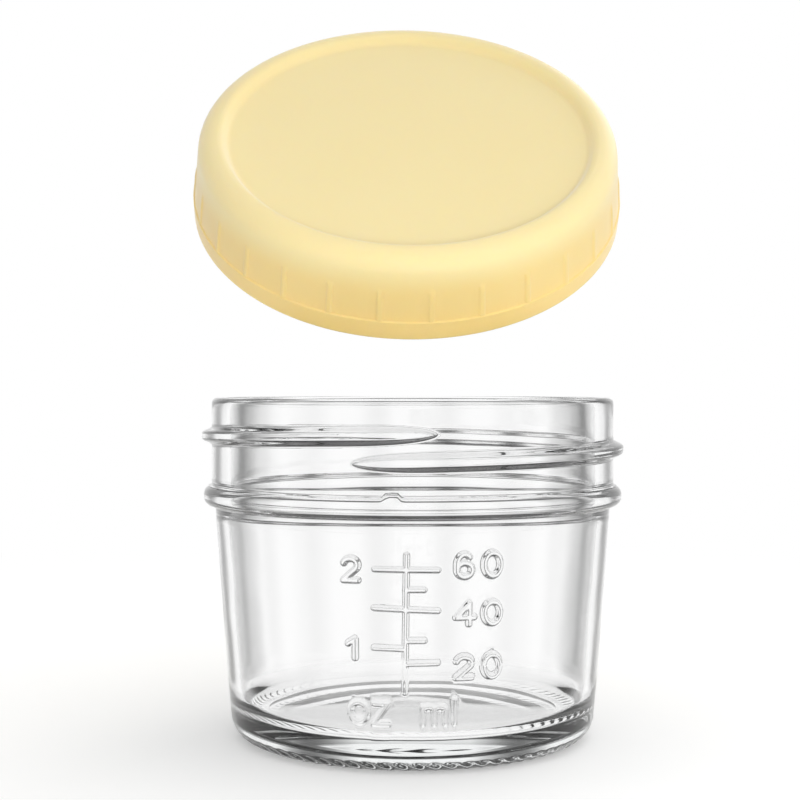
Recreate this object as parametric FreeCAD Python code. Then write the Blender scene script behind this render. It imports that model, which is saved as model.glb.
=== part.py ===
import FreeCAD, Part
import math
import os

# A small wide-mouth storage jar of clear pressed glass and its one-piece screw lid of moulded polypropylene.
# Millimetres. The jar stands on z = 0 with its axis on Z, and its measuring scale is on the -Y side.
# The jar is open: the lid is lifted off, held above the mouth and tipped towards -Y, so that its top shows.

# ---- jar body -------------------------------------------------------------------------------------
jar_height = 55.5
body_inset = 0.6              # the body is this much smaller than the neck, just under the transfer bead
body_taper = 2.5              # and smaller again by this much where the heel starts to turn in
body_wall = 1.9
base_thickness = 4.6          # glass under the inner floor, at its edge
floor_round = 3.6             # inner corner between wall and floor
heel_round = 4.4              # outer corner between wall and base
bearing_width = 1.3           # flat ring that the jar stands on
push_up = 1.5                 # the middle of the base is pushed up by this much

# ---- jar neck: every height is measured down from the rim, so the finish keeps its form -------------
neck_radius = 33.0            # outside of the plain neck
neck_wall = 3.0
rim_round = 0.9
bead_drop = 16.0              # middle of the transfer bead
bead_height = 3.5
bead_proud = 1.3

# ---- screw thread of the jar ------------------------------------------------------------------------
thread_lead = 4.0             # rise in one turn
thread_width = 2.9            # at its foot in the wall
thread_proud = 1.6
thread_drop = 5.2             # middle of the upper end, down from the rim
thread_sweep = 382.0          # degrees from the lower end to the upper end
thread_foot_angle = -16.0     # lower end, in degrees from -Y towards +X
thread_run_out = 14.0         # degrees over which each end fades to a rounded tip

# ---- lid --------------------------------------------------------------------------------------------
skirt_wall = 1.9              # at the lower edge
lid_top_thickness = 1.5
skirt_depth = 12.0            # from the sealing face down to the lower edge
skirt_draft = 0.35            # the bore opens by this much from the thread down to the lower edge
skirt_taper = 1.25            # the skirt draws in by this much up to the ring
inner_corner = 1.7            # between the bore and the underside
ring_rise = 1.6               # crest of the raised ring above the sunken disc
ring_outer_round = 3.9
ring_inner_round = 1.9
disc_round = 1.0              # hollow round where the disc runs up into the ring
edge_round = 0.5              # outer corner of the lower edge
band_height = 3.7             # plain grip band round the lower edge
band_step = 0.3               # the band stands out from the skirt by this much
rib_count = 28
rib_width = 0.9
rib_height = 6.0              # above the band
rib_proud = 0.25              # above the skirt, a little less than the band
rib_run_out = 0.6             # the top of a rib slopes back into the skirt over this height
rib_phase = 5.8               # degrees from -Y to the first rib
lid_thread_width = 1.6
lid_thread_proud = 1.0
lid_thread_sweep = 300.0
lid_thread_edge = 0.8         # plain wall left between the thread and the lower edge

# ---- fits between lid and jar -------------------------------------------------------------------------
thread_clearance = 0.3        # radial, from the jar's thread crest to the lid's bore
seal_clearance = 0.0          # the lid's flat underside lands on the rim

# ---- where the lifted lid is held, from its seated place ------------------------------------------------
lid_lift = 46.2               # straight up, to the middle of its lower edge
lid_back = 17.2               # away from the scale
lid_side = 0.9                # towards -X
lid_tip = 42.6                # degrees, top towards -Y
lid_lean = 1.1                # degrees, right side down

# ---- worked out ----------------------------------------------------------------------------------------
AXIS = FreeCAD.Vector(0, 0, 1)
MIN_TIP = 0.25                # smallest scale of a thread's section, at its rounded tip
BURY = 0.6                    # how deep a rib's or thread's foot lies in the wall, so that they fuse
FULL_SECTION_STEP = 15.0      # degrees between a thread's sections

body_top_radius = neck_radius - body_inset
body_foot_radius = body_top_radius - body_taper
thread_crest = neck_radius + thread_proud
thread_top_z = jar_height - thread_drop
thread_foot_z = thread_top_z - thread_lead * thread_sweep / 360.0
bead_z = jar_height - bead_drop
shoulder_z = bead_z - bead_height / 2.0
body_slope = (body_top_radius - body_foot_radius) / (shoulder_z - heel_round)

lid_bore = thread_crest + thread_clearance          # at the thread
lid_mouth = lid_bore + skirt_draft                  # at the lower edge
lid_edge_radius = lid_mouth + skirt_wall
ring_centre = lid_edge_radius - skirt_taper - ring_outer_round
disc_z = skirt_depth + lid_top_thickness
crest_z = disc_z + ring_rise
skirt_foot_radius = lid_edge_radius - band_step
skirt_top_radius = lid_edge_radius - skirt_taper
skirt_top_z = crest_z - ring_outer_round
seat_z = jar_height + seal_clearance - skirt_depth  # the lower edge of the seated lid


def v(r, z):
    """A point of a section, at radius r and height z."""
    return FreeCAD.Vector(r, 0, z)


def line(a, b):
    return Part.LineSegment(v(*a), v(*b)).toShape()


def arc(a, mid, b):
    return Part.Arc(v(*a), v(*mid), v(*b)).toShape()


def on_circle(centre, radius, degrees):
    """The point at an angle, counted from +r towards +z, on a circle of a section."""
    t = math.radians(degrees)
    return (centre[0] + radius * math.cos(t), centre[1] + radius * math.sin(t))


def corner_arc(centre, radius, start, end):
    """An arc of a section about a centre, from one angle to the other."""
    points = [on_circle(centre, radius, a) for a in (start, (start + end) / 2.0, end)]
    return arc(*points)


def revolve(edges):
    """Turn a closed section about the axis into a solid."""
    face = Part.Face(Part.Wire(edges))
    return face.revolve(FreeCAD.Vector(0, 0, 0), AXIS, 360)


def thread_section(root, proud, width, scale, angle, z):
    """One section of a thread: a rounded ridge whose flat foot is sunk in the wall.

    proud is positive for a thread on the outside of a wall and negative for one on the inside.
    """
    half = width * scale / 2.0
    foot = root - math.copysign(BURY, proud)
    crest = root + proud * scale
    wire = Part.Wire([
        arc((foot, -half), (crest, 0), (foot, half)),
        line((foot, half), (foot, -half)),
    ])
    wire.translate(FreeCAD.Vector(0, 0, z))
    wire.rotate(FreeCAD.Vector(0, 0, 0), AXIS, angle - 90.0)
    return wire


def thread(root, proud, width, lead, foot_z, foot_angle, sweep, run_out):
    """A right-hand thread: sections set round a helix, which shrink to a rounded tip at both ends."""
    ramp = [0.0, 0.12, 0.35, 0.7, 1.0]
    turned = [run_out * u for u in ramp]
    plain = sweep - 2 * run_out
    steps = max(2, math.ceil(plain / FULL_SECTION_STEP))
    turned += [run_out + plain * i / steps for i in range(1, steps)]
    turned += [sweep - run_out * u for u in reversed(ramp)]
    sections = []
    for a in turned:
        u = min(a, sweep - a, run_out) / run_out
        scale = max(MIN_TIP, math.sqrt(1.0 - (1.0 - u) ** 2))
        z = foot_z + lead * a / 360.0
        sections.append(thread_section(root, proud, width, scale, foot_angle + a, z))
    return Part.makeLoft(sections, True, False)


def jar_section():
    """The jar's wall, base and rim as one closed section."""
    inner_neck = neck_radius - neck_wall
    floor_z = base_thickness
    wall_at = lambda z: body_foot_radius + body_slope * (z - heel_round)
    bearing_outer = body_foot_radius - heel_round
    bearing_inner = bearing_outer - bearing_width
    inner_shoulder_z = shoulder_z - body_wall
    inner_shoulder = wall_at(inner_shoulder_z) - body_wall
    inner_foot_z = floor_z + floor_round
    inner_foot = wall_at(inner_foot_z) - body_wall
    bead_top_z = bead_z + bead_height / 2.0
    heel_mid = on_circle((bearing_outer, heel_round), heel_round, -45)
    floor_mid = on_circle((inner_foot - floor_round, inner_foot_z), floor_round, -45)
    rim_z = jar_height - rim_round
    dish_radius = (bearing_inner ** 2 + push_up ** 2) / (2.0 * push_up)
    dish_angle = 90 - math.degrees(bearing_inner / 2.0 / dish_radius)
    dish_mid = on_circle((0, push_up - dish_radius), dish_radius, dish_angle)
    return [
        arc((0, push_up), dish_mid, (bearing_inner, 0)),
        line((bearing_inner, 0), (bearing_outer, 0)),
        arc((bearing_outer, 0), heel_mid, (body_foot_radius, heel_round)),
        line((body_foot_radius, heel_round), (body_top_radius, shoulder_z)),
        arc((body_top_radius, shoulder_z), (neck_radius + bead_proud, bead_z), (neck_radius, bead_top_z)),
        line((neck_radius, bead_top_z), (neck_radius, rim_z)),
        corner_arc((neck_radius - rim_round, rim_z), rim_round, 0, 90),
        line((neck_radius - rim_round, jar_height), (inner_neck + rim_round, jar_height)),
        corner_arc((inner_neck + rim_round, rim_z), rim_round, 90, 180),
        line((inner_neck, rim_z), (inner_neck, bead_z)),
        line((inner_neck, bead_z), (inner_shoulder, inner_shoulder_z)),
        line((inner_shoulder, inner_shoulder_z), (inner_foot, inner_foot_z)),
        arc((inner_foot, inner_foot_z), floor_mid, (inner_foot - floor_round, floor_z)),
        line((inner_foot - floor_round, floor_z), (0, floor_z + push_up / 2.0)),
        line((0, floor_z + push_up / 2.0), (0, push_up)),
    ]


def make_jar():
    """One piece of pressed glass: wall, base, bead and neck, with its thread."""
    glass = revolve(jar_section())
    ridge = thread(neck_radius, thread_proud, thread_width, thread_lead, thread_foot_z,
                   thread_foot_angle, thread_sweep, thread_run_out)
    return glass.fuse(ridge)


def lid_section():
    """The lid's sunken disc, raised ring, skirt and band as one closed section, lower edge on z = 0."""
    inner_centre = (ring_centre, crest_z - ring_inner_round)
    hollow_drop = disc_z + disc_round - inner_centre[1]
    hollow_reach = math.sqrt((ring_inner_round + disc_round) ** 2 - hollow_drop ** 2)
    hollow_centre = (ring_centre - hollow_reach, disc_z + disc_round)
    meet_angle = 180 - math.degrees(math.atan2(hollow_drop, hollow_reach))
    corner_centre = (lid_bore - inner_corner, skirt_depth - inner_corner)
    return [
        line((0, skirt_depth), (0, disc_z)),
        line((0, disc_z), (hollow_centre[0], disc_z)),
        corner_arc(hollow_centre, disc_round, -90, meet_angle - 180),
        corner_arc(inner_centre, ring_inner_round, meet_angle, 90),
        corner_arc((ring_centre, skirt_top_z), ring_outer_round, 90, 0),
        line((skirt_top_radius, skirt_top_z), (skirt_foot_radius, band_height)),
        line((skirt_foot_radius, band_height), (lid_edge_radius, band_height - band_step / 2.0)),
        line((lid_edge_radius, band_height - band_step / 2.0), (lid_edge_radius, edge_round)),
        corner_arc((lid_edge_radius - edge_round, edge_round), edge_round, 0, -90),
        line((lid_edge_radius - edge_round, 0), (lid_mouth, 0)),
        line((lid_mouth, 0), (lid_bore, corner_centre[1])),
        corner_arc(corner_centre, inner_corner, 0, 90),
        line((corner_centre[0], skirt_depth), (0, skirt_depth)),
    ]


def grip_rib(angle):
    """A low upright rib of the grip: it follows the skirt up from the band and runs out at its top."""
    slope = (skirt_foot_radius - skirt_top_radius) / (skirt_top_z - band_height)
    skirt_at = lambda z: skirt_foot_radius - slope * (z - band_height)
    foot = band_height - band_step
    top = band_height + rib_height
    outer_top = (skirt_at(top - rib_run_out) + rib_proud, top - rib_run_out)
    root = skirt_at(top) - BURY
    section = [(root, foot), (skirt_at(foot) + rib_proud, foot), outer_top, (skirt_at(top), top), (root, top)]
    face = Part.Face(Part.Wire([line(a, b) for a, b in zip(section, section[1:] + section[:1])]))
    width_angle = math.degrees(rib_width / lid_edge_radius)
    rib = face.revolve(FreeCAD.Vector(0, 0, 0), AXIS, width_angle)
    rib.rotate(FreeCAD.Vector(0, 0, 0), AXIS, angle - 90.0 - width_angle / 2.0)
    return rib


def make_lid():
    """One moulding, in its own frame with its lower edge on z = 0 and its thread as if seated on the jar."""
    shell = revolve(lid_section())
    ribs = [grip_rib(rib_phase + 360.0 * i / rib_count) for i in range(rib_count)]
    # The lid's thread runs midway between the turns of the jar's thread when the lid is seated.
    start_z = lid_thread_edge + lid_thread_width / 2.0
    jar_foot = thread_foot_z - thread_lead / 2.0 - seat_z
    start_angle = thread_foot_angle + 360.0 * (start_z - jar_foot) / thread_lead
    ridge = thread(lid_bore, -lid_thread_proud, lid_thread_width, thread_lead, start_z,
                   start_angle, lid_thread_sweep, thread_run_out)
    return shell.fuse(ribs + [ridge])


def seat(lid):
    """Put the lid on the jar, screwed down."""
    placed = lid.copy()
    placed.translate(FreeCAD.Vector(0, 0, seat_z))
    return placed


def lift_off(lid):
    """Tip the lid about the middle of its lower edge, and hold it above the open mouth."""
    placed = lid.copy()
    centre = FreeCAD.Vector(0, 0, 0)
    placed.rotate(centre, FreeCAD.Vector(0, 1, 0), lid_lean)
    placed.rotate(centre, FreeCAD.Vector(1, 0, 0), lid_tip)
    placed.translate(FreeCAD.Vector(-lid_side, lid_back, seat_z + lid_lift))
    return placed


def one_solid(shape, name):
    """The single solid of a fused piece, with seams of the fuse cleaned away."""
    solids = shape.removeSplitter().Solids
    if len(solids) != 1 or not solids[0].isValid():
        raise RuntimeError(name + " isn't one sound solid")
    return solids[0]


def main():
    os.makedirs("parts", exist_ok=True)
    jar = one_solid(make_jar(), "jar")
    lid = one_solid(lift_off(make_lid()), "lid")
    for name, solid in (("jar", jar), ("lid", lid)):
        solid.exportStep(os.path.join("parts", name + ".step"))
        box = solid.BoundBox
        print(name, "volume %.1f mm3" % solid.Volume)
        print("  from %.1f %.1f %.1f" % (box.XMin, box.YMin, box.ZMin))
        print("  to %.1f %.1f %.1f" % (box.XMax, box.YMax, box.ZMax))


main()
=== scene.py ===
import math

import bmesh
import bpy
from mathutils import Matrix, Vector
from mathutils.kdtree import KDTree


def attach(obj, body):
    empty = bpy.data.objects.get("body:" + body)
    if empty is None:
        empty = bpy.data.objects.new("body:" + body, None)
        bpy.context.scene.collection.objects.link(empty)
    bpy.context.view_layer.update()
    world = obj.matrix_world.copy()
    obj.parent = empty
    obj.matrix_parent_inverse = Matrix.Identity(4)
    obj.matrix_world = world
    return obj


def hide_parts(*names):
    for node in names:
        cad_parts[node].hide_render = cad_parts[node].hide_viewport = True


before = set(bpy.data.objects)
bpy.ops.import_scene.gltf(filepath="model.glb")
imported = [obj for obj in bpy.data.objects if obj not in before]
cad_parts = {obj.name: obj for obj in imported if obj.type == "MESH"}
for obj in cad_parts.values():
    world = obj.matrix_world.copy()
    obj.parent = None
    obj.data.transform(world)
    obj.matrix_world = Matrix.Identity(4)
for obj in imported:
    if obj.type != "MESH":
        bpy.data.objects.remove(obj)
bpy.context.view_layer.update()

# ---- The jar ----------------------------------------------------------------------------------------
# A small wide-mouth storage jar with a measuring scale. It is clear soda-lime glass, pressed in one piece
# in a two-part mould: wall, base, bead and screw thread are one body, and its rim is smoothed by fire.
# Sizes are in millimetres, with the jar standing on z = 0 and the scale on the -Y side.
MM = 0.001
JAR_HEIGHT = 55.5
NECK_RADIUS = 33.0
NECK_BORE = 30.0
BEAD_RADIUS = 34.3
BODY_TOP_RADIUS = 32.4       # just under the bead
BODY_FOOT_RADIUS = 29.57     # where the line of the wall meets the table
INNER_SHOULDER_RADIUS = 30.36
FLOOR_CORNER_RADIUS = 28.02
FLOOR_Z = 4.6
FLOOR_CROWN = 0.75           # the floor is this much higher in the middle
PUSH_UP = 1.5                # hollow under the base
BEARING_INNER_RADIUS = 24.2
JAR_COLUMNS = 352


def round_corner(before, corner, after, radius, step):
    """The points of a round that replaces a corner of a section, tangent to both of its sides."""
    back, on = (before - corner).normalized(), (after - corner).normalized()
    half_open = back.angle(on) / 2
    reach = radius / math.tan(half_open)
    centre = corner + (back + on).normalized() * radius / math.sin(half_open)
    start = corner + back * reach - centre
    turn = start.angle_signed(corner + on * reach - centre)
    count = max(3, math.ceil(abs(turn) / math.radians(14)), math.ceil(abs(turn) * radius / step))
    return [centre + Matrix.Rotation(-turn * i / count, 2) @ start for i in range(count + 1)]


def outline(corners):
    """Points along a section. A corner is (radius, height, round, step): step spaces the run up to it."""
    places = [Vector(c[:2]) for c in corners]
    points = [places[0]]
    for i, (_, _, radius, step) in enumerate(corners[1:], 1):
        rounded = radius > 0
        arc = round_corner(places[i - 1], places[i], places[i + 1], radius, step) if rounded else [places[i]]
        start, run = points[-1], arc[0] - points[-1]
        count = max(1, round(run.length / step))
        points += [start + run * k / count for k in range(1, count)] + arc
    return points


def lathe_section(bm, points, angle):
    """Puts a section's points into a mesh as a chain of edges, turned by angle degrees from -Y towards +X."""
    turn = Matrix.Rotation(math.radians(angle), 3, "Z")
    verts = [bm.verts.new(turn @ Vector((0, -p.x, p.y))) for p in points]
    return verts + [bm.edges.new(pair) for pair in zip(verts, verts[1:])]


def close_lathe(bm):
    """Merges the seam and the poles of a turned shape, and points its faces outwards."""
    bmesh.ops.remove_doubles(bm, verts=bm.verts, dist=0.001)
    bmesh.ops.recalc_face_normals(bm, faces=bm.faces)


def rise(t):
    """A smooth step from 0 to 1 as t goes from 0 to 1."""
    t = min(1.0, max(0.0, t))
    return (1 - math.cos(math.pi * t)) / 2


def thread_rise(angle, z, foot_z, foot_angle, sweep, lead, width, run_out, flank):
    """How far a screw thread stands out, from 0 to 1, at an angle and height of the wall that carries it.

    Each end narrows to a rounded tip over run_out degrees. flank is how wide the side's slope is.
    """
    best = 0.0
    run_length = math.radians(run_out) * NECK_RADIUS
    along = (angle - foot_angle) % 360
    while along < sweep:
        end = max(0.0, 1 - min(along, sweep - along) / run_out) ** 1.5
        off = abs(z - foot_z - lead * along / 360) / (width / 2)
        edge = math.hypot(end, off)
        if edge < 1:
            steep = math.hypot(end / run_length, off / (width / 2))
            inside = (1 - edge) * edge / steep if steep > 0 else width
            best = max(best, rise(inside / flank))
        along += 360
    return best


THREAD_LEAD = 4.0
THREAD_SWEEP = 382.0
THREAD_FOOT_ANGLE = -16.0
THREAD_PROUD = 1.6
THREAD_WIDTH = 3.2
THREAD_FLANK = 1.15
THREAD_RUN_OUT = 26.0
THREAD_TOP_DROP = 5.2        # from the rim down to the middle of the thread's upper end
THREAD_FOOT_Z = JAR_HEIGHT - THREAD_TOP_DROP - THREAD_LEAD * THREAD_SWEEP / 360
THREAD_ZONE = (44.3, 52.1)   # the heights between which the neck's mesh is fine enough for the thread

jar_outline = outline([
    (0, PUSH_UP, 0, 1),
    (BEARING_INNER_RADIUS / 2, PUSH_UP, 190, 3),
    (BEARING_INNER_RADIUS, 0, 0.6, 2),
    (BODY_FOOT_RADIUS, 0, 4.1, 0.5),
    (30.4, 10.0, 0, 1.2),
    (32.2, 34.6, 0, 0.7),
    (BODY_TOP_RADIUS + 0.03, 38.0, 0.45, 1.2),
    (BEAD_RADIUS, 37.9, 1.45, 0.4),
    (BEAD_RADIUS, 41.15, 1.45, 0.4),
    (NECK_RADIUS, 41.25, 0.5, 0.4),
    (NECK_RADIUS, THREAD_ZONE[0], 0, 0.6),
    (NECK_RADIUS, THREAD_ZONE[1], 0, 0.17),
    (NECK_RADIUS, JAR_HEIGHT, 1.0, 0.6),
    (NECK_BORE, JAR_HEIGHT, 1.0, 0.6),
    (NECK_BORE, 39.5, 6.0, 2.5),
    (INNER_SHOULDER_RADIUS, 35.85, 6.0, 1.0),
    (FLOOR_CORNER_RADIUS, FLOOR_Z, 3.6, 2.2),
    (0, FLOOR_Z + FLOOR_CROWN, 0, 3),
])

glass_mesh = bmesh.new()
first_section = lathe_section(glass_mesh, jar_outline, 0)
bmesh.ops.spin(glass_mesh, geom=first_section, cent=(0, 0, 0), axis=(0, 0, 1), dvec=(0, 0, 0),
               angle=math.tau, steps=JAR_COLUMNS, use_merge=True, use_duplicate=False)
close_lathe(glass_mesh)

# The measuring scale stands out from the wall as strokes with rounded tops, cut into the mould by a ball
# cutter. Each stroke is a line of points, in millimetres round the wall and up from the table.
STROKE_PROUD = 0.6
LETTER_WIDTH = 1.2
TICK_WIDTH = 1.05
WALL_LEAN = 0.0749           # how far the wall leans out for each millimetre of height
MARKS_ZONE = (6.5, 35.0)     # the heights that hold the scale
MARK_REACH = 0.85            # the fine mesh reaches this far from the middle of a stroke


def oval(x, z, w, h, start=0, end=360):
    """A round stroke in the box at (x, z), from one angle to the other, counted from its right side."""
    turns = [math.radians(start + (end - start) * i / 24) for i in range(25)]
    return [(x + w / 2 * (1 + math.cos(t)), z + h / 2 * (1 + math.sin(t))) for t in turns]


def digit_two(x, z, w, h):
    return oval(x, z + h * 0.42, w, h * 0.58, 165, -38) + [(x, z), (x + w, z)]


def digit_six(x, z, w, h):
    return oval(x, z, w, h, 48, 190) + oval(x, z, w, h * 0.62, 180, 540)


LETTERS = [
    digit_two(-10.5, 29.0, 2.2, 3.2),
    [(-9.8, 19.6), (-8.75, 20.3), (-8.75, 17.5)],
    digit_six(6.25, 29.55, 2.25, 3.3),
    oval(10.4, 29.55, 2.6, 3.4),
    [(8.1, 22.55), (8.1, 25.6), (6.15, 23.55), (8.9, 23.55)],
    oval(10.4, 22.5, 2.6, 3.2),
    digit_two(6.2, 14.6, 2.3, 3.1),
    oval(10.35, 14.55, 2.6, 3.3),
    oval(-9.45, 8.1, 2.6, 2.85),
    [(-5.85, 10.85), (-3.85, 10.85), (-5.95, 7.85), (-3.75, 7.85)],
    [(1.3, 7.95), (1.3, 10.45)],
    [(2.95, 7.95), (2.95, 9.85)] + oval(1.3, 9.35, 1.65, 1.1, 0, 150),
    [(4.6, 7.95), (4.6, 9.85)] + oval(2.95, 9.35, 1.65, 1.1, 0, 150),
    [(5.95, 8.05), (5.95, 11.45)],
]
BAR_X = -1.25
TICKS = [
    [(BAR_X - 0.1, 12.5), (BAR_X + 0.15, 32.8)],
    [(-5.8, 30.7), (3.5, 30.6)],
    [(BAR_X, 27.7), (1.45, 27.7)],
    [(-5.9, 25.0), (3.5, 24.6)],
    [(BAR_X, 20.2), (1.5, 20.2)],
    [(-5.9, 19.1), (BAR_X, 19.0)],
    [(BAR_X, 16.8), (3.45, 16.9)],
]


def walk(stroke, step=0.07):
    """Points closely spaced along a stroke."""
    for (x0, z0), (x1, z1) in zip(stroke, stroke[1:]):
        count = max(1, math.ceil(math.hypot(x1 - x0, z1 - z0) / step))
        for i in range(count + 1):
            yield x0 + (x1 - x0) * i / count, z0 + (z1 - z0) * i / count


marks = [(x, z, LETTER_WIDTH) for s in LETTERS for x, z in walk(s)]
marks += [(x, z, TICK_WIDTH) for s in TICKS for x, z in walk(s)]
mark_tree = KDTree(len(marks))
for i, (x, z, _) in enumerate(marks):
    mark_tree.insert((x, z, 0), i)
mark_tree.balance()


def on_wall(p):
    """A point's way round the wall from the middle of the scale, in millimetres, and its angle in degrees."""
    angle = math.atan2(p.x, -p.y)
    return math.hypot(p.x, p.y) * angle, math.degrees(angle)


def refine(bm, wanted, cuts):
    """Splits the faces whose middle is wanted into a finer grid."""
    edges = {e for f in bm.faces if wanted(f.calc_center_median()) for e in f.edges}
    bmesh.ops.subdivide_edges(bm, edges=list(edges), cuts=cuts, use_grid_fill=True)


def near_mark(p):
    """Whether a point of the wall's outside is close enough to a stroke to need a fine mesh."""
    outside = math.hypot(p.x, p.y) > 29.6 and MARKS_ZONE[0] < p.z < MARKS_ZONE[1] and p.y < -20
    wall = BODY_FOOT_RADIUS + WALL_LEAN * p.z
    if not outside or math.hypot(p.x, p.y) < wall - 0.5:
        return False
    _, _, gap = mark_tree.find((on_wall(p)[0], p.z, 0))
    return gap < MARK_REACH


KNURL_TOP = 2.0


def under_heel(p):
    return p.z < KNURL_TOP and math.hypot(p.x, p.y) > BEARING_INNER_RADIUS + 1.5


def near_thread_ends(p):
    _, angle = on_wall(p)
    on_neck = math.hypot(p.x, p.y) > NECK_RADIUS - 0.1 and THREAD_ZONE[0] < p.z < THREAD_ZONE[1]
    return on_neck and -18 < angle < 8


refine(glass_mesh, near_mark, 3)
refine(glass_mesh, near_thread_ends, 1)
refine(glass_mesh, under_heel, 1)

# The edge that the jar stands on is knurled with short slanting ridges, which keep hot glass off the belt.
KNURL_COUNT = 72
KNURL_INNER_RADIUS = 26.0
KNURL_DEEP = 0.2
KNURL_SLANT = 9.0            # degrees of slant from the bearing ring to the top of the knurl
LUG_ANGLE = -5.4             # a small key stands on the bead, where the mould is set up
LUG_HALF = 1.3

for vert in glass_mesh.verts:
    p = vert.co
    r = math.hypot(p.x, p.y)
    round_way, angle = on_wall(p)
    out = Vector((p.x, p.y, 0)).normalized() if r > 0.01 else Vector((0, 0, 0))
    if r > NECK_RADIUS - 0.01 and 43.9 < p.z < 52.7:
        lift = thread_rise(angle, p.z, THREAD_FOOT_Z, THREAD_FOOT_ANGLE, THREAD_SWEEP, THREAD_LEAD,
                           THREAD_WIDTH, THREAD_RUN_OUT, THREAD_FLANK)
        vert.co = p + out * THREAD_PROUD * lift
    elif near_mark(p):
        _, nearest, gap = mark_tree.find((round_way, p.z, 0))
        half = marks[nearest][2] / 2
        vert.co = p + out * STROKE_PROUD * rise((1 - gap / half) / 0.75)
    elif under_heel(p):
        up = p.z / KNURL_TOP
        wave = 0.5 + 0.5 * math.cos(math.radians(KNURL_COUNT * (angle + KNURL_SLANT / 2 * up)))
        fade = rise((KNURL_TOP - p.z) / 0.8) * rise((r - KNURL_INNER_RADIUS) / 0.8)
        vert.co = p + (Vector((0, 0, 1)) * 0.8 - out * 0.6) * KNURL_DEEP * wave * fade
    elif r > NECK_RADIUS + 0.1 and p.z > 39.5 and p.y < -20:
        off = round_way - math.radians(LUG_ANGLE) * BEAD_RADIUS
        vert.co = p + Vector((0, 0, 0.6)) * rise((1 - abs(off) / LUG_HALF) / 0.4) * rise((p.z - 39.5) / 1.5)

bmesh.ops.scale(glass_mesh, vec=(MM, MM, MM), verts=glass_mesh.verts)


def finish_piece(bm, name, material):
    """Makes a mesh of the finished shape an object, smoothly shaded, with its material."""
    mesh = bpy.data.meshes.new(name)
    bm.to_mesh(mesh)
    bm.free()
    mesh.polygons.foreach_set("use_smooth", [True] * len(mesh.polygons))
    mesh.materials.append(material)
    piece = bpy.data.objects.new(name, mesh)
    bpy.context.scene.collection.objects.link(piece)
    return piece


def linear(code):
    """An sRGB hex colour as the linear red, green, blue and alpha that a shader takes."""
    channels = [int(code[i:i + 2], 16) / 255 for i in (1, 3, 5)]
    return [c / 12.92 if c <= 0.04045 else ((c + 0.055) / 1.055) ** 2.4 for c in channels] + [1.0]


def add_node(tree, kind, settings=None, **links):
    """Adds a node. settings are its attributes; links give an input, by name, a value or another socket."""
    node = tree.nodes.new("ShaderNode" + kind)
    for key, value in (settings or {}).items():
        setattr(node, key, value)
    for key, value in links.items():
        name = key.replace("_", " ")
        socket = node.inputs[int(name[1:])] if name[1:].isdigit() else node.inputs[name]
        if isinstance(value, bpy.types.NodeSocket):
            tree.links.new(value, socket)
        else:
            socket.default_value = value
    return node


def new_material(name):
    """A material with nothing in it but its output."""
    material = bpy.data.materials.new(name)
    material.use_nodes = True
    tree = material.node_tree
    tree.nodes.clear()
    return material, tree, tree.nodes.new("ShaderNodeOutputMaterial")


# Soda-lime glass, pressed and fire-polished: quite clear, with a faint cold tint where it is thick, and a
# slow ripple left by the mould, which bends what shows through it a little.
glass, tree, output = new_material("pressed_soda_lime_glass")
place = add_node(tree, "TexCoord").outputs["Object"]
ripple = add_node(tree, "TexNoise", Vector=place, Scale=90.0, Detail=1.0, Roughness=0.4)
relief = add_node(tree, "Bump", Height=ripple.outputs["Fac"], Strength=0.25, Distance=0.0002)
clear = add_node(tree, "BsdfPrincipled", Base_Color=linear("#FEFEFE"), Roughness=0.0, IOR=1.52,
                 Transmission_Weight=1.0, Normal=relief.outputs["Normal"])
tint = add_node(tree, "VolumeAbsorption", Color=linear("#E2E8E7"), Density=6.0)
tree.links.new(clear.outputs["BSDF"], output.inputs["Surface"])
tree.links.new(tint.outputs["Volume"], output.inputs["Volume"])

jar = finish_piece(glass_mesh, "jar_glass", glass)
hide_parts("jar")
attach(jar, "root")

# ---- The lid ----------------------------------------------------------------------------------------
# A one-piece screw lid of polypropylene, injection moulded in butter yellow, with a raised ring round a
# sunken disc, short grip ribs and a plain band at its lower edge. It is lifted off and tipped forwards.
LID_BORE = 34.9              # clears the jar's thread by 0.3
LID_MOUTH = 35.25
LID_EDGE_RADIUS = 37.15
SKIRT_FOOT_RADIUS = 36.85
SKIRT_TOP_RADIUS = 35.41     # where the line of the skirt meets the height of the ring
BAND_HEIGHT = 3.7
UNDERSIDE_Z = 12.0
DISC_Z = 13.5
RING_Z = 15.1
RIB_COUNT = 28
RIB_HALF = 0.6
RIB_TOP = 9.7
RIB_PROUD = 0.24
RIB_PHASE = 5.8              # degrees from the front to the first rib
RIB_STEPS, GAP_STEPS = 8, 5

lid_outline = outline([
    (0, DISC_Z, 0, 1),
    (30.6, DISC_Z, 1.0, 5),
    (31.7, RING_Z, 1.3, 0.5),
    (SKIRT_TOP_RADIUS, RING_Z, 3.4, 0.5),
    (36.05, RIB_TOP + 0.2, 0, 0.5),
    (36.2, RIB_TOP - 1.0, 0, 0.2),
    (SKIRT_FOOT_RADIUS, BAND_HEIGHT, 0.15, 1.0),
    (LID_EDGE_RADIUS, BAND_HEIGHT - 0.2, 0.15, 0.1),
    (LID_EDGE_RADIUS, 0, 0.5, 1.0),
    (LID_MOUTH, 0, 0.25, 0.6),
    (LID_BORE + 0.34, 0.5, 0, 0.3),
    (LID_BORE + 0.17, 6.2, 0, 0.14),
    (LID_BORE, UNDERSIDE_Z, 1.7, 1.5),
    (0, UNDERSIDE_Z, 0, 6),
])

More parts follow.
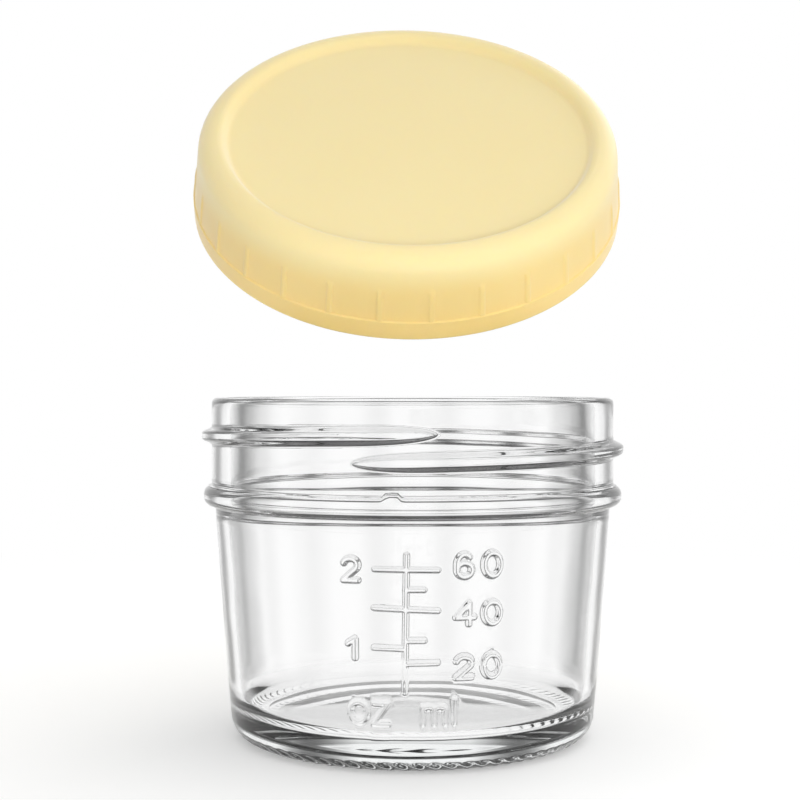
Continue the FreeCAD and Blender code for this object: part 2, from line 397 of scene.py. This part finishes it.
rib_zone = 2 * math.degrees(RIB_HALF * 1.15 / SKIRT_FOOT_RADIUS)
gap_zone = 360 / RIB_COUNT - rib_zone
lid_mesh = bmesh.new()
edge = lathe_section(lid_mesh, lid_outline, RIB_PHASE - rib_zone / 2)
for i in range(RIB_COUNT):
    for zone, steps in ((rib_zone, RIB_STEPS), (gap_zone, GAP_STEPS)):
        edge = bmesh.ops.spin(lid_mesh, geom=edge, cent=(0, 0, 0), axis=(0, 0, 1), dvec=(0, 0, 0),
                              angle=math.radians(zone), steps=steps, use_merge=False,
                              use_duplicate=False)["geom_last"]
close_lathe(lid_mesh)

LID_THREAD_Z = 1.6
LID_THREAD_PROUD = 1.0
LID_THREAD_WIDTH = 1.9
LID_THREAD_FLANK = 0.75
LID_THREAD_SWEEP = 300.0
SEAT_Z = JAR_HEIGHT - UNDERSIDE_Z
# Screwed down, the lid's thread runs midway between the turns of the jar's.
LID_THREAD_LIFT = LID_THREAD_Z - (THREAD_FOOT_Z - THREAD_LEAD / 2 - SEAT_Z)
LID_THREAD_ANGLE = THREAD_FOOT_ANGLE + 360 * LID_THREAD_LIFT / THREAD_LEAD

for vert in lid_mesh.verts:
    p = vert.co
    r = math.hypot(p.x, p.y)
    if r < 34 or p.z > UNDERSIDE_Z:
        continue
    _, angle = on_wall(p)
    out = Vector((p.x, p.y, 0)).normalized()
    if r < LID_MOUTH and 0.4 < p.z < 6.3:
        lift = thread_rise(angle, p.z, LID_THREAD_Z, LID_THREAD_ANGLE, LID_THREAD_SWEEP, THREAD_LEAD,
                           LID_THREAD_WIDTH, THREAD_RUN_OUT, LID_THREAD_FLANK)
        vert.co = p - out * LID_THREAD_PROUD * lift
    elif r > 35.8 and BAND_HEIGHT < p.z < RIB_TOP:
        pitch = 360 / RIB_COUNT
        off = (angle - RIB_PHASE + pitch / 2) % pitch - pitch / 2
        across = rise((1 - abs(math.radians(off) * r) / RIB_HALF) / 0.5)
        vert.co = p + out * RIB_PROUD * across * rise((RIB_TOP - p.z) / 1.6)

LID_TIP = 42.6
LID_LEAN = 1.1
LID_PLACE = (-0.9, 17.2, SEAT_Z + 46.2)
tipped = (Matrix.Translation(LID_PLACE) @ Matrix.Rotation(math.radians(LID_TIP), 4, "X")
          @ Matrix.Rotation(math.radians(LID_LEAN), 4, "Y"))
bmesh.ops.transform(lid_mesh, matrix=Matrix.Scale(MM, 4) @ tipped, verts=lid_mesh.verts)

# Polypropylene, injection moulded in a finely blasted mould: satin, a little milky, so that light goes in
# and softens the edges, with a fine grain and faint clouds where the colour flowed.
plastic, tree, output = new_material("moulded_polypropylene_butter_yellow")
place = add_node(tree, "TexCoord").outputs["Object"]
clouds = add_node(tree, "TexNoise", Vector=place, Scale=45.0, Detail=2.0, Roughness=0.5)
colour = add_node(tree, "Mix", {"data_type": "RGBA"}, _0=clouds.outputs["Fac"],
                  _6=linear("#F4E1A5"), _7=linear("#F5E4AB"))
# Painted light and shade: the base colour is made deeper down the skirt than on the disc, in place of the
# warm light that comes through the thin wall and the shade on the skirt, which faces down.
upright = add_node(tree, "Mapping", {"vector_type": "TEXTURE"}, Vector=place,
                   Location=Vector(LID_PLACE) * MM, Rotation=(math.radians(LID_TIP), 0, 0))
height = add_node(tree, "SeparateXYZ", Vector=upright.outputs["Vector"]).outputs["Z"]
painted_skirt_shade = add_node(tree, "MapRange", {"interpolation_type": "SMOOTHSTEP"}, Value=height,
                From_Min=0.008, From_Max=0.0132, To_Min=1.0, To_Max=0.0)
colour = add_node(tree, "Mix", {"data_type": "RGBA"}, _0=painted_skirt_shade.outputs[0],
                  _6=colour.outputs[2], _7=linear("#F1D68F"))
# Painted light: the band at the lower edge is given a lighter, warmer colour, in place of light from below
# that its down-facing edge does not get.
painted_band_light = add_node(tree, "MapRange", {"interpolation_type": "SMOOTHSTEP"}, Value=height,
               From_Min=0.0, From_Max=0.0075, To_Min=1.0, To_Max=0.0)
colour = add_node(tree, "Mix", {"data_type": "RGBA"}, _0=painted_band_light.outputs[0],
                  _6=colour.outputs[2], _7=linear("#FADA8A"))
grain = add_node(tree, "TexNoise", Vector=place, Scale=2500.0, Detail=1.0, Roughness=0.5)
relief = add_node(tree, "Bump", Height=grain.outputs["Fac"], Strength=0.12, Distance=0.0001)
satin = add_node(tree, "BsdfPrincipled", Base_Color=colour.outputs[2], Roughness=0.34, IOR=1.49,
                 Subsurface_Weight=0.3, Subsurface_Radius=(1.0, 0.75, 0.3), Subsurface_Scale=0.002,
                 Sheen_Weight=0.15, Sheen_Roughness=0.4, Normal=relief.outputs["Normal"])
tree.links.new(satin.outputs["BSDF"], output.inputs["Surface"])

lid = finish_piece(lid_mesh, "lid_cap", plastic)
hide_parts("lid")
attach(lid, "root")
lid.visible_transmission = False
lid.visible_glossy = False

# ---- Floor, light and camera ------------------------------------------------------------------------
# A plain pale floor in a white studio. Clear glass needs something dark round it to draw its edges, so
# narrow grey cards, a dark roof and a low dark shelf surround the white walls. Only rays through glass see
# them.
floor_mesh = bmesh.new()
bmesh.ops.create_circle(floor_mesh, cap_ends=True, segments=96, radius=4.0)
paint, tree, output = new_material("matt_white_studio_floor")
path = add_node(tree, "LightPath").outputs
seen = add_node(tree, "Math", {"operation": "MAXIMUM"}, _0=path["Is Camera Ray"], _1=path["Is Glossy Ray"])
lift = add_node(tree, "Math", {"operation": "MULTIPLY"}, _0=seen.outputs[0], _1=0.25)
matt = add_node(tree, "BsdfPrincipled", Base_Color=linear("#F3F3F2"), Roughness=0.9,
                Specular_IOR_Level=0.0, Emission_Color=linear("#FFFFFF"), Emission_Strength=lift.outputs[0])
white = add_node(tree, "Emission", Color=linear("#FFFFFF"), Strength=1.0)
place = add_node(tree, "TexCoord").outputs["Object"]
reach = add_node(tree, "VectorMath", {"operation": "LENGTH"}, _0=place).outputs["Value"]
away = add_node(tree, "MapRange", {"interpolation_type": "SMOOTHSTEP"}, Value=reach,
                From_Min=0.05, From_Max=0.3)
away = add_node(tree, "Math", {"operation": "MULTIPLY"}, _0=away.outputs[0], _1=seen.outputs[0])
plain = add_node(tree, "MixShader", _0=away.outputs[0], _1=matt.outputs[0], _2=white.outputs[0])

# Through the glass, the floor is white round the jar's foot, and further off it lets the walls and the
# shelf show.
gone = add_node(tree, "BsdfTransparent", Color=linear("#FFFFFF"))
past = add_node(tree, "MapRange", {"interpolation_type": "SMOOTHSTEP"}, Value=reach,
                From_Min=0.045, From_Max=0.06)
glazed = add_node(tree, "MixShader", _0=past.outputs[0], _1=white.outputs[0], _2=gone.outputs[0])
floor_look = add_node(tree, "MixShader", _0=path["Is Transmission Ray"], _1=plain.outputs[0],
                      _2=glazed.outputs[0])
tree.links.new(floor_look.outputs[0], output.inputs["Surface"])
floor = finish_piece(floor_mesh, "studio_floor", paint)

CARD_COUNT = 8
SHELF_DEPTH = 0.395          # the sine of how far below level the shelf is seen
world = bpy.data.worlds.new("white_studio")
bpy.context.scene.world = world
world.use_nodes = True
tree = world.node_tree
tree.nodes.clear()
way = add_node(tree, "TexCoord").outputs["Generated"]
axes = add_node(tree, "SeparateXYZ", Vector=way).outputs
turn = add_node(tree, "Math", {"operation": "ARCTAN2"}, _0=axes["Y"], _1=axes["X"])
turn = add_node(tree, "Math", {"operation": "MULTIPLY"}, _0=turn.outputs[0], _1=float(CARD_COUNT))
wave = add_node(tree, "Math", {"operation": "COSINE"}, _0=turn.outputs[0])
cards = add_node(tree, "MapRange", Value=wave.outputs[0],
                 From_Min=-1.0, From_Max=0.1, To_Min=0.15, To_Max=1.0)
roof = add_node(tree, "MapRange", {"interpolation_type": "SMOOTHSTEP"}, Value=axes["Z"],
                From_Min=0.16, From_Max=0.34, To_Min=1.0, To_Max=0.05)
off_shelf = add_node(tree, "Math", {"operation": "ADD"}, _0=axes["Z"], _1=SHELF_DEPTH)
off_shelf = add_node(tree, "Math", {"operation": "ABSOLUTE"}, _0=off_shelf.outputs[0])
shelf = add_node(tree, "MapRange", {"interpolation_type": "SMOOTHSTEP"}, Value=off_shelf.outputs[0],
                 From_Min=0.035, From_Max=0.06, To_Min=0.05, To_Max=1.0)
walls = add_node(tree, "Math", {"operation": "MULTIPLY"}, _0=cards.outputs[0], _1=roof.outputs[0])
walls = add_node(tree, "Math", {"operation": "MULTIPLY"}, _0=walls.outputs[0], _1=shelf.outputs[0])
path = add_node(tree, "LightPath").outputs
bright = add_node(tree, "Background", Strength=1.0)
through = add_node(tree, "Background", Strength=walls.outputs[0])
# The light on the object comes mostly from above and the right.
toward = add_node(tree, "VectorMath", {"operation": "DOT_PRODUCT"}, _0=way, _1=(0.6, 0.0, 0.8))
overhead = add_node(tree, "MapRange", Value=toward.outputs["Value"],
                    From_Min=-0.6, From_Max=1.0, To_Min=0.3, To_Max=1.05)
soft = add_node(tree, "Background", Strength=overhead.outputs[0])
for background in (bright, through, soft):
    background.inputs["Color"].default_value = linear("#FFFFFF")
# A ray bent by smooth glass counts as glossy too, so the glass comes last and has its way.
seen = add_node(tree, "Math", {"operation": "MAXIMUM"}, _0=path["Is Camera Ray"], _1=path["Is Glossy Ray"])
inner = add_node(tree, "MixShader", _0=seen.outputs[0], _1=soft.outputs[0], _2=bright.outputs[0])
outer = add_node(tree, "MixShader", _0=path["Is Transmission Ray"], _1=inner.outputs[0],
                 _2=through.outputs[0])
world_output = tree.nodes.new("ShaderNodeOutputWorld")
tree.links.new(outer.outputs[0], world_output.inputs["Surface"])


def add_lamp(name, place, size, power):
    """A square soft box at a place, in metres, that faces the object's middle."""
    lamp = bpy.data.lights.new(name, "AREA")
    lamp.size = size
    lamp.energy = power
    holder = bpy.data.objects.new(name, lamp)
    holder.location = place
    holder.rotation_euler = (Vector((0, 0, 0.07)) - Vector(place)).to_track_quat("-Z", "Y").to_euler()
    holder.visible_transmission = holder.visible_camera = False
    bpy.context.scene.collection.objects.link(holder)
    return holder


add_lamp("key_softbox", (0.36, 0.44, 0.5), 0.4, 0.5)
add_lamp("side_softbox", (0.5, -0.12, 0.2), 0.4, 0.12)
add_lamp("low_front_fill", (0.03, -0.24, 0.012), 0.1, 0.34).visible_glossy = False

CAMERA_PLACE = (-2.05, -257.0, 57.2)
CAMERA_PITCH = -0.48
LENS = 69.84
view_camera = bpy.data.cameras.new("camera")
view_camera.lens = LENS
view_camera.clip_start = 0.01
camera = bpy.data.objects.new("camera", view_camera)
camera.location = Vector(CAMERA_PLACE) * MM
camera.rotation_euler = (math.radians(90 + CAMERA_PITCH), 0, 0)
bpy.context.scene.collection.objects.link(camera)
bpy.context.scene.camera = camera
bpy.context.scene.view_settings.view_transform = "Standard"
